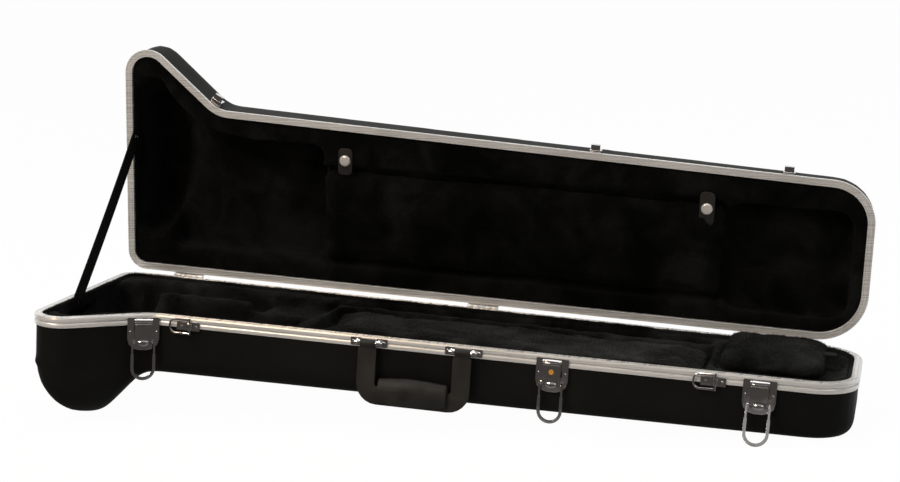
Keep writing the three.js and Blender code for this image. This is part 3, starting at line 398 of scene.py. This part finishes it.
def platedMetal(name, color, rough, metal=1):
    look = {
        "smudge": (60, 5, 0.4), "stops": (0.3, 0.8), "worn": 0.88, "grain": (500, 2), "dent": (70, 2),
        "grainBump": (0.04, 0.2 * mm), "dentBump": (0.35, 2.5 * mm),
    }
    material, tree, shader = startMaterial(name, color, rough[0], Metallic=metal)
    place = objectPlace(tree)
    smudge = addNoise(tree, place, *look["smudge"])
    addWear(tree, shader, smudge, rough)
    addTint(tree, shader, smudge, look["stops"], (color, tuple(look["worn"] * part for part in color)))
    grain = addNoise(tree, place, *look["grain"])
    dent = addNoise(tree, place, *look["dent"])
    addBump(tree, shader, [(grain, *look["grainBump"]), (dent, *look["dentBump"])])
    return material


def softVinyl():
    look = {
        "dark": (0.0105, 0.01, 0.0088), "light": (0.021, 0.0198, 0.017), "stops": (0.3, 0.75),
        "rough": (0.45, 0.62), "gloss": 0.25, "cloud": (40, 4), "pebble": 1100, "crease": (120, 3),
        "pebbleBump": (0.3, 0.3 * mm), "creaseBump": (0.15, 0.6 * mm),
    }
    material, tree, shader = startMaterial(
        "softVinyl", look["dark"], look["rough"][0], Specular_IOR_Level=look["gloss"])
    place = objectPlace(tree)
    cloud = addNoise(tree, place, *look["cloud"])
    addTint(tree, shader, cloud, look["stops"], (look["dark"], look["light"]))
    addWear(tree, shader, cloud, look["rough"])
    pebble = addCells(tree, place, look["pebble"])
    crease = addNoise(tree, place, *look["crease"])
    addBump(tree, shader, [(pebble, *look["pebbleBump"]), (crease, *look["creaseBump"])])
    return material


def wovenWebbing():
    look = {
        "dark": (0.0012, 0.0012, 0.0012), "light": (0.006, 0.006, 0.006), "stops": (0.2, 0.9),
        "ribs": 130, "yarns": 9, "rough": 0.75, "gloss": 0.08, "sheen": 0.03, "sheenRough": 0.4,
        "weaveBump": (0.6, 0.6 * mm),
    }
    material, tree, shader = startMaterial(
        "wovenWebbing", look["dark"], look["rough"], Specular_IOR_Level=look["gloss"],
        Sheen_Weight=look["sheen"], Sheen_Roughness=look["sheenRough"])
    chart = tree.nodes.new("ShaderNodeUVMap")
    chart.uv_map = "weave"
    split = tree.nodes.new("ShaderNodeSeparateXYZ")
    tree.links.new(chart.outputs["UV"], split.inputs["Vector"])
    across = addMath(tree, "MULTIPLY", split.outputs["X"], look["yarns"] * math.tau)
    along = addMath(tree, "MULTIPLY", split.outputs["Y"], look["ribs"] * math.tau)
    weave = addMath(tree, "MULTIPLY", addMath(tree, "SINE", across), addMath(tree, "SINE", along))
    height = addMath(tree, "DIVIDE", addMath(tree, "ADD", weave, 1), 2)
    # The weave's hollows are painted darker than its raised yarns: painted shade between the yarns
    addTint(tree, shader, height, look["stops"], (look["dark"], look["light"]))
    addBump(tree, shader, [(height, *look["weaveBump"])])
    return material


# One black plush throughout: the copies for the base liner, the cover and the pad are painted lighter, a painted
# sheen where these pieces face up into the light
plushes = {
    "plush": ("blackPlush", (0.0008, 0.0008, 0.0007), (0.007, 0.0072, 0.0068), 0.03),
    "basePlush": ("paintedSheenBasePlush", (0.001, 0.001, 0.0009), (0.018, 0.0188, 0.0176), 0.04),
    "coverPlush": ("coverPlush", (0.002, 0.0021, 0.002), (0.018, 0.0192, 0.018), 0.04),
    "pad": ("paintedSheenPadPlush", (0.0025, 0.0026, 0.0025), (0.028, 0.0286, 0.0272), 0.05),
}
metals = {
    "chrome": ("brightChrome", (0.68, 0.665, 0.67), (0.05, 0.13)),
    "nickel": ("polishedNickel", (0.82, 0.78, 0.72), (0.14, 0.26), 0.55),
    "brass": ("polishedBrass", (0.85, 0.42, 0.07), (0.16, 0.3), 0.5),
}


def makeFinishes():
    made = {
        "shell": grainedShell(), "valance": satinValance(), "vinyl": softVinyl(), "webbing": wovenWebbing(),
    }
    made.update({slot: plush(*look) for slot, look in plushes.items()})
    made.update({slot: platedMetal(*look) for slot, look in metals.items()})
    print("materials ready")
    return made


finishes = makeFinishes()


# Making pieces
def meshCopy(node):
    shape = bmesh.new()
    shape.from_mesh(nodes[node].data)
    bmesh.ops.remove_doubles(shape, verts=shape.verts, dist=weld)
    return shape


def addPiece(name, shape, slot):
    mesh = bpy.data.meshes.new(name)
    shape.to_mesh(mesh)
    shape.free()
    piece = bpy.data.objects.new(name, mesh)
    bpy.context.scene.collection.objects.link(piece)
    mesh.materials.append(finishes[slot])
    return piece


def settle(piece):
    graph = bpy.context.evaluated_depsgraph_get()
    mesh = bpy.data.meshes.new_from_object(piece.evaluated_get(graph), depsgraph=graph)
    piece.modifiers.clear()
    piece.data = mesh


def shadeSmooth(piece, angle=None):
    for face in piece.data.polygons:
        face.use_smooth = True
    if angle is not None:
        piece.data.set_sharp_from_angle(angle=math.radians(angle))


def finishPiece(piece, node):
    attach(piece, bodyOf[node])
    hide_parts(node)


# Rigid pieces: the CAD shape with eased edges and smooth round faces
edges = {
    "valance": {"ease": 0.25, "steps": 2, "limit": 50, "smooth": 40},
    "chrome": {"ease": 0.4, "steps": 3, "limit": 48, "smooth": 50},
    "nickel": {"ease": 0.8, "steps": 4, "limit": 40, "smooth": 60},
    "brass": {"ease": 0.2, "steps": 2, "limit": 50, "smooth": 50},
    "vinyl": {"ease": 0.7, "steps": 3, "limit": 48, "smooth": 50},
}
# Facets that meet at less than this many degrees are joined before the edges are eased
flatAngle = 0.5


def easedCopy(node):
    edge = edges[slotOf[node]]
    shape = meshCopy(node)
    bmesh.ops.dissolve_limit(
        shape, angle_limit=math.radians(flatAngle), verts=shape.verts, edges=shape.edges)
    sharp = [line for line in shape.edges if line.calc_face_angle(0) > math.radians(edge["limit"])]
    bmesh.ops.bevel(
        shape, geom=sharp, offset=edge["ease"] * mm, segments=edge["steps"], affect="EDGES",
        profile=0.5, clamp_overlap=True, material=-1)
    piece = addPiece(node + "_eased", shape, slotOf[node])
    shadeSmooth(piece, edge["smooth"])
    finishPiece(piece, node)


# The outline in plan, moved inwards, with its corners rounded in many steps
def casePlan(inset, steps):
    flareWidth = plan["neckWidth"] + plan["flareEnd"] * math.tan(math.radians(plan["flareAngle"]))
    corners = [
        (Vector((0, 0)), plan["bellBack"]),
        (Vector((0, -flareWidth)), plan["bellFront"]),
        (Vector((plan["flareEnd"], -plan["neckWidth"])), plan["flare"]),
        (Vector((plan["length"], -plan["tailWidth"])), plan["tailFront"]),
        (Vector((plan["length"], 0)), plan["tailBack"]),
    ]
    points = []
    for number, (corner, radius) in enumerate(corners):
        before = (corner - corners[number - 1][0]).normalized()
        after = (corners[(number + 1) % len(corners)][0] - corner).normalized()
        turn = math.atan2(before.cross(after), before.dot(after))
        side = math.copysign(1, turn)
        sideways = Vector((-before.y, before.x)) * side
        centre = corner - before * radius * math.tan(abs(turn) / 2) + sideways * radius
        start = math.atan2(-sideways.y, -sideways.x)
        reach = radius - side * inset
        for step in range(steps + 1):
            angle = start + turn * step / steps
            points.append((centre.x + reach * math.cos(angle), centre.y + reach * math.sin(angle)))
    return points


# The valance: one aluminium section swept round the plan, with two soft ribs on the base
valance = {
    "flange": 1.2 * mm, "web": 1.6 * mm, "width": 9 * mm, "lip": 9 * mm,
    "height": 13 * mm, "lidHeight": 3.6 * mm, "gap": 0.2 * mm, "proud": 0.7 * mm, "ease": 0.35 * mm,
    "ribSteps": 6, "ribRoundness": 0.5, "cornerSteps": 20, "smooth": 35,
    "ribs": [(0.8 * mm, 5.7 * mm), (7.6 * mm, 12.5 * mm)], "seam": (1.4 * mm, 5.9 * mm, 7.4 * mm),
    "grooves": [6.7 * mm, 2.4 * mm], "mouth": 0.45 * mm, "grooveFloor": 0.25 * mm, "sunk": 0.55 * mm,
}


def ribPoints(top, low):
    points = []
    for step in range(valance["ribSteps"] + 1):
        share = step / valance["ribSteps"]
        rise = math.sin(math.pi * share) ** valance["ribRoundness"]
        points.append((-valance["proud"] * rise, top + (low - top) * share))
    return points


# Points of the section as inset and distance from the parting plane, once round it
def valanceSection(ribs, height):
    ease = valance["ease"]
    top = valance["gap"]
    under = valance["gap"] + valance["web"]
    inner = valance["width"] - valance["flange"]
    section = [(ease, top), (0, top + ease)]
    for number, (high, low) in enumerate(ribs):
        if number:
            inwards, start, end = valance["seam"]
            section += [(inwards, start), (inwards, end)]
        section += ribPoints(high, low)
    section += [(0, height - ease), (ease, height), (valance["flange"], height)]
    section += [(valance["flange"], under + ease), (valance["flange"] + ease, under)]
    section += [(inner - ease, under), (inner, under + ease), (inner, valance["lip"])]
    section += [(valance["width"] - ease, valance["lip"]), (valance["width"], valance["lip"] - ease)]
    section += [(valance["width"], top + ease), (valance["width"] - ease, top)]
    for place in valance["grooves"]:
        section += [(place + valance["mouth"], top), (place + valance["grooveFloor"], top + valance["sunk"])]
        section += [(place - valance["grooveFloor"], top + valance["sunk"]), (place - valance["mouth"], top)]
    return section


def sweepSection(section, side):
    shape = bmesh.new()
    order = shape.verts.layers.int.new("order")
    loop = []
    made = []
    for inset, level in section + section[:1]:
        outline = casePlan(inset, valance["cornerSteps"])
        if not loop:
            made = [shape.verts.new((0, 0, 0)) for _ in outline]
            for number, vert in enumerate(made):
                vert[order] = number
            loop = [shape.edges.new((made[number - 1], made[number])) for number in range(len(made))]
        else:
            geom = bmesh.ops.extrude_edge_only(shape, edges=loop)["geom"]
            made = [item for item in geom if isinstance(item, bmesh.types.BMVert)]
            fresh = set(made)
            lines = [item for item in geom if isinstance(item, bmesh.types.BMEdge)]
            loop = [line for line in lines if line.verts[0] in fresh and line.verts[1] in fresh]
        for vert in made:
            x, y = outline[vert[order]]
            vert.co = (x, y, side * level)
    bmesh.ops.remove_doubles(shape, verts=shape.verts, dist=weld / 2)
    bmesh.ops.recalc_face_normals(shape, faces=shape.faces)
    return shape


def addValances():
    base = sweepSection(valanceSection(valance["ribs"], valance["height"]), -1)
    lid = sweepSection(valanceSection([], valance["lidHeight"]), 1)
    for shape, node in ((base, "base_trim"), (lid, "lid_trim")):
        shape.transform(frameOf[bodyOf[node]])
        piece = addPiece(node + "_section", shape, "valance")
        shadeSmooth(piece, valance["smooth"])
        finishPiece(piece, node)
    print("valances swept")


# The shells: the CAD shell's outer skin, softened as vacuum-formed sheet is, with its rim cut clean
skin = {
    "rim": 2.1 * mm, "extra": 16 * mm, "voxel": 3.3 * mm, "factor": 0.5, "rounds": 9, "thick": 2.2 * mm,
    "near": 0.06 * mm, "out": 0.15 * mm, "smooth": 60,
}
bulge = {
    "fromShare": 0.5, "fadeShare": 0.14, "end": 190 * mm, "ease": 40 * mm, "rounds": 70, "swell": 1.6 * mm,
}


# How much a place of the shell belongs to the bell's bulge, which is drawn deep and comes out rounder
def bulgeShare(place, side, deepest):
    deep = (side * place.z / deepest - bulge["fromShare"]) / bulge["fadeShare"]
    near = (bulge["end"] - place.x) / bulge["ease"]
    return max(0, min(1, deep)) * max(0, min(1, near))


def roundBulge(piece, side):
    deepest = max(side * vert.co.z for vert in piece.data.vertices)
    group = piece.vertex_groups.new(name="bulge")
    for number, vert in enumerate(piece.data.vertices):
        group.add([number], bulgeShare(vert.co, side, deepest), "REPLACE")
    rounding = piece.modifiers.new("rounding", "SMOOTH")
    rounding.factor = skin["factor"]
    rounding.iterations = bulge["rounds"]
    rounding.vertex_group = "bulge"
    settle(piece)
    return deepest


def lengthOf(island):
    return max(vert.co.x for vert in island) - min(vert.co.x for vert in island)


def outerIsland(shape):
    left = set(shape.verts)
    islands = []
    while left:
        wave = [left.pop()]
        island = set(wave)
        while wave:
            vert = wave.pop()
            for line in vert.link_edges:
                other = line.other_vert(vert)
                if other in left:
                    left.discard(other)
                    island.add(other)
                    wave.append(other)
        islands.append(island)
    return max(islands, key=lengthOf)


def shellSkin(node, side):
    own = frameOf[bodyOf[node]]
    shape = meshCopy(node)
    shape.transform(own.inverted())
    rim = side * skin["rim"]
    cut = [face for face in shape.faces if all(abs(vert.co.z - rim) < skin["near"] for vert in face.verts)]
    bmesh.ops.delete(shape, geom=cut, context="FACES")
    outer = outerIsland(shape)
    bmesh.ops.delete(shape, geom=[vert for vert in shape.verts if vert not in outer], context="VERTS")
    border = [line for line in shape.edges if line.is_boundary]
    raised = bmesh.ops.extrude_edge_only(shape, edges=border)["geom"]
    tops = [item for item in raised if isinstance(item, bmesh.types.BMVert)]
    bmesh.ops.translate(shape, verts=tops, vec=(0, 0, -side * skin["extra"]))
    bmesh.ops.holes_fill(shape, edges=[line for line in shape.edges if line.is_boundary], sides=0)
    bmesh.ops.triangulate(shape, faces=[face for face in shape.faces if len(face.verts) > 4])
    bmesh.ops.recalc_face_normals(shape, faces=shape.faces)
    piece = addPiece(node + "_skin", shape, "shell")
    remesh = piece.modifiers.new("remesh", "REMESH")
    remesh.mode = "VOXEL"
    remesh.voxel_size = skin["voxel"]
    soften = piece.modifiers.new("soften", "SMOOTH")
    soften.factor = skin["factor"]
    soften.iterations = skin["rounds"]
    settle(piece)
    deepest = roundBulge(piece, side)
    shape = bmesh.new()
    shape.from_mesh(piece.data)
    bmesh.ops.bisect_plane(
        shape, geom=shape.verts[:] + shape.edges[:] + shape.faces[:], plane_co=(0, 0, rim),
        plane_no=(0, 0, -side), clear_outer=True)
    for vert in shape.verts:
        vert.co += vert.normal * (skin["out"] + bulge["swell"] * bulgeShare(vert.co, side, deepest))
    shape.to_mesh(piece.data)
    shape.free()
    wall = piece.modifiers.new("wall", "SOLIDIFY")
    wall.thickness = skin["thick"]
    wall.offset = -1
    settle(piece)
    piece.data.transform(own)
    shadeSmooth(piece, skin["smooth"])
    finishPiece(piece, node)


# Plush over foam: the CAD form remeshed, softened and given an uneven nap, with short tufts standing out
# of it. A wave is its scale per metre and its depth; the depths and all lengths are in millimetres.
lining = {
    "voxel": 3.6, "rounds": 6, "factor": 0.55, "waves": [(26, 0.9), (90, 0.55), (260, 0.5)], "fill": 0.9,
    "tufts": 0.1, "tuftHigh": 2.4, "tuftWide": 0.5, "seed": 3,
}
pads = {
    "voxel": 2.4, "rounds": 5, "factor": 0.5, "waves": [(14, 2.2), (45, 1.6), (180, 0.9)],
    "cells": 5, "slack": 2.5, "pressure": 4, "frames": 20, "cap": 5, "seat": 2.5,
    "tufts": 0.16, "tuftHigh": 2.8, "tuftWide": 0.55, "seed": 5,
}
tabCloth = {
    "voxel": 0.6, "rounds": 3, "factor": 0.5, "waves": [(200, 0.12)], "fill": 0.9,
    "tufts": 0.4, "tuftHigh": 0.8, "tuftWide": 0.25, "seed": 7,
}
collar = {
    "voxel": 1.5, "rounds": 2, "factor": 0.4, "waves": [(30, 0.5), (110, 0.5), (300, 0.3)], "fill": 0.9,
    "tufts": 0.5, "tuftHigh": 2.8, "tuftWide": 0.5, "seed": 11,
    "outer": 9.3, "inner": 13.4, "low": 15, "roll": 1.2, "high": {"base_liner": -1, "lid_liner": 2.4},
}


def remeshPiece(piece, voxel, factor, rounds):
    remesh = piece.modifiers.new("remesh", "REMESH")
    remesh.mode = "VOXEL"
    remesh.voxel_size = voxel * mm
    smooth = piece.modifiers.new("soften", "SMOOTH")
    smooth.factor = factor
    smooth.iterations = rounds
    settle(piece)


def raiseNap(piece, waves):
    shape = bmesh.new()
    shape.from_mesh(piece.data)
    shape.normal_update()
    for vert in shape.verts:
        rise = sum(depth * noise.noise(vert.co * scale) for scale, depth in waves)
        vert.co += vert.normal * rise * mm
    for face in shape.faces:
        face.smooth = True
    shape.to_mesh(piece.data)
    shape.free()


# The shortest tuft as a share of the tallest
tuftShort = 0.4


def addTuft(shape, place, out, picker, look):
    aside = Vector([picker.uniform(-1, 1) for _ in range(3)])
    across = out.cross(aside).normalized() * look["tuftWide"] * mm / 2
    lean = out + aside / 2
    high = look["tuftHigh"] * mm * picker.uniform(tuftShort, 1)
    corners = (place - across, place + across, place + lean.normalized() * high)
    shape.faces.new([shape.verts.new(corner) for corner in corners])


# Tufts per square millimetre over the whole piece
def growTufts(piece, look):
    shape = bmesh.new()
    shape.from_mesh(piece.data)
    picker = random.Random(look["seed"])
    for face in shape.faces[:]:
        place = face.calc_center_median()
        wanted = look["tufts"] * face.calc_area() / mm / mm
        for _ in range(int(wanted + picker.random())):
            spot = place.lerp(picker.choice(face.verts).co, picker.random())
            addTuft(shape, spot, face.normal, picker, look)
    shape.to_mesh(piece.data)
    shape.free()


def finishSoft(piece, node, look):
    raiseNap(piece, look["waves"])
    growTufts(piece, look)
    finishPiece(piece, node)


def softCopy(node, look):
    piece = addPiece(node + "_plush", meshCopy(node), plushOf.get(node, slotOf[node]))
    remeshPiece(piece, look["voxel"], look["factor"], look["rounds"])
    finishSoft(piece, node, look)


# Soft pieces that stand past the parting plane, each listed with a share of its height that nothing reads;
# pressFlat only gives each its own copy of its mesh. Of base_liner that is only the collar
pressed = {"base_liner": 0.74, "lid_pad": 0.75, "base_front_pad": 0.84}


def pressFlat(piece):
    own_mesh(piece)


# The roll of plush that is glued up over the valance's inner lip, all round the rim
def addCollar(node, side):
    high = collar["high"][node]
    section = [
        (collar["outer"], collar["low"]), (collar["outer"], high + collar["roll"]),
        (collar["outer"] + collar["roll"], high),
        (collar["inner"] - collar["roll"], high + collar["roll"] / 2),
        (collar["inner"], high + 2 * collar["roll"]), (collar["inner"], collar["low"]),
    ]
    shape = sweepSection([(inset * mm, level * mm) for inset, level in section], side)
    shape.transform(frameOf[bodyOf[node]])
    piece = addPiece(node + "_collar", shape, plushOf.get(node, slotOf[node]))
    remeshPiece(piece, collar["voxel"], collar["factor"], collar["rounds"])
    finishSoft(piece, node, collar)
    if node in pressed:
        pressFlat(piece)


# A stuffed piece: blown up by a short cloth run while its seat is held, then given its nap. The side says
# which way it is stuffed, up from its seat or down, and the cover is lifted into a crown first.
stuffed = {
    "base_front_pad": {"side": 1, "fill": 0.8, "lift": 0},
    "accessory_cover": {"side": 1, "fill": 0.85, "lift": 6},
    "lid_pad": {"side": -1, "fill": 0.8, "lift": 0},
}


def stuffedCopy(node, side, fill, lift):
    own = frameOf[bodyOf[node]]
    shape = meshCopy(node)
    shape.transform(own.inverted())
    seat = min(side * vert.co.z for vert in shape.verts)
    tall = max(side * vert.co.z for vert in shape.verts) - seat
    centre = sum((vert.co for vert in shape.verts), Vector()) / len(shape.verts)
    for axis in (0, 1):
        span = max(vert.co[axis] for vert in shape.verts) - min(vert.co[axis] for vert in shape.verts)
        drawnIn = 1 - 2 * pads["slack"] * mm / span
        for vert in shape.verts:
            vert.co[axis] = centre[axis] + (vert.co[axis] - centre[axis]) * drawnIn
    for vert in shape.verts:
        vert.co.z += side * lift * mm * (side * vert.co.z - seat) / tall
    piece = addPiece(node + "_plush", shape, plushOf.get(node, slotOf[node]))
    remeshPiece(piece, pads["cells"], pads["factor"], 1)
    blowUp(piece, side, seat)
    remeshPiece(piece, pads["voxel"], pads["factor"], pads["rounds"])
    piece.data.transform(own)
    finishSoft(piece, node, pads)
    if node in pressed:
        pressFlat(piece)


def blowUp(piece, side, seat):
    before = [vert.co.copy() for vert in piece.data.vertices]
    held = piece.vertex_groups.new(name="seat")
    low = seat + pads["seat"] * mm
    held.add([number for number, place in enumerate(before) if side * place.z < low], 1, "REPLACE")
    cloth = piece.modifiers.new("puff", "CLOTH")
    cloth.settings.use_pressure = True
    cloth.settings.uniform_pressure_force = pads["pressure"]
    cloth.settings.effector_weights.gravity = 0
    cloth.settings.vertex_group_mass = "seat"
    for number in range(1, pads["frames"] + 1):
        bpy.context.scene.frame_set(number)
    settle(piece)
    bpy.context.scene.frame_set(1)
    for vert, place in zip(piece.data.vertices, before):
        move = vert.co - place
        if move.length > pads["cap"] * mm:
            vert.co = place + move.normalized() * pads["cap"] * mm


def upholster():
    softCopy("base_liner", lining)
    softCopy("lid_liner", lining)
    softCopy("accessory_pull_tab", tabCloth)
    addCollar("base_liner", -1)
    addCollar("lid_liner", 1)
    for node, make in stuffed.items():
        stuffedCopy(node, **make)
    print("upholstery done")


# The webbing stay between the two halves: a flat woven strap between its two riveted ends
stay = {
    "width": 22 * mm, "thick": 1.5 * mm, "past": 5.5 * mm, "bow": 1.2 * mm, "rows": 90, "columns": 8,
    "smooth": 45,
}


def anchorPlace(node):
    low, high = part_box(node)
    return (Vector(low) + Vector(high)) / 2


def addStay():
    low = anchorPlace("stay_anchor_base")
    high = anchorPlace("stay_anchor_lid")
    along = (high - low).normalized()
    thin = caseFrame.to_3x3() @ Vector((1, 0, 0))
    thin = (thin - along * thin.dot(along)).normalized()
    wide = along.cross(thin)
    box = [Vector(corner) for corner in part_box("stay_strap")]
    offset = ((box[0] + box[1]) / 2 - (low + high) / 2).dot(thin)
    reach = (high - low).length + 2 * stay["past"]
    shape = bmesh.new()
    bmesh.ops.create_grid(shape, x_segments=stay["columns"], y_segments=stay["rows"], size=halfway)
    chart = shape.loops.layers.uv.new("weave")
    for face in shape.faces:
        for loop in face.loops:
            loop[chart].uv = (loop.vert.co.x + halfway, loop.vert.co.y + halfway)
    middle = (low + high) / 2 + thin * offset
    for vert in shape.verts:
        bow = stay["bow"] * (1 - (2 * vert.co.y) ** 2)
        vert.co = middle + wide * vert.co.x * stay["width"] + along * vert.co.y * reach + thin * bow
    piece = addPiece("stay_webbing", shape, "webbing")
    wall = piece.modifiers.new("wall", "SOLIDIFY")
    wall.thickness = stay["thick"]
    wall.offset = 0
    settle(piece)
    shadeSmooth(piece, stay["smooth"])
    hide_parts("stay_strap")
    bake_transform(piece)
    print("stay woven")


# The handle's grip is soft vinyl wrapped round the strap: its ends draw in and its face puckers a little
grip = {"voxel": 1.3, "factor": 0.5, "rounds": 7, "waves": [(28, 0.9), (70, 0.45)]}


def wrapGrip(node):
    piece = addPiece(node + "_wrap", meshCopy(node), slotOf[node])
    remeshPiece(piece, grip["voxel"], grip["factor"], grip["rounds"])
    raiseNap(piece, grip["waves"])
    finishPiece(piece, node)


def dressFittings():
    done = {"base_shell", "lid_shell", "base_trim", "lid_trim", "handle_grip"}
    for node in sorted(nodes):
        if slotOf[node] in edges and node not in done:
            easedCopy(node)
    wrapGrip("handle_grip")
    print("fittings dressed")


addStudio()
shellSkin("base_shell", -1)
shellSkin("lid_shell", 1)
print("shells formed")
addValances()
dressFittings()
upholster()
addStay()
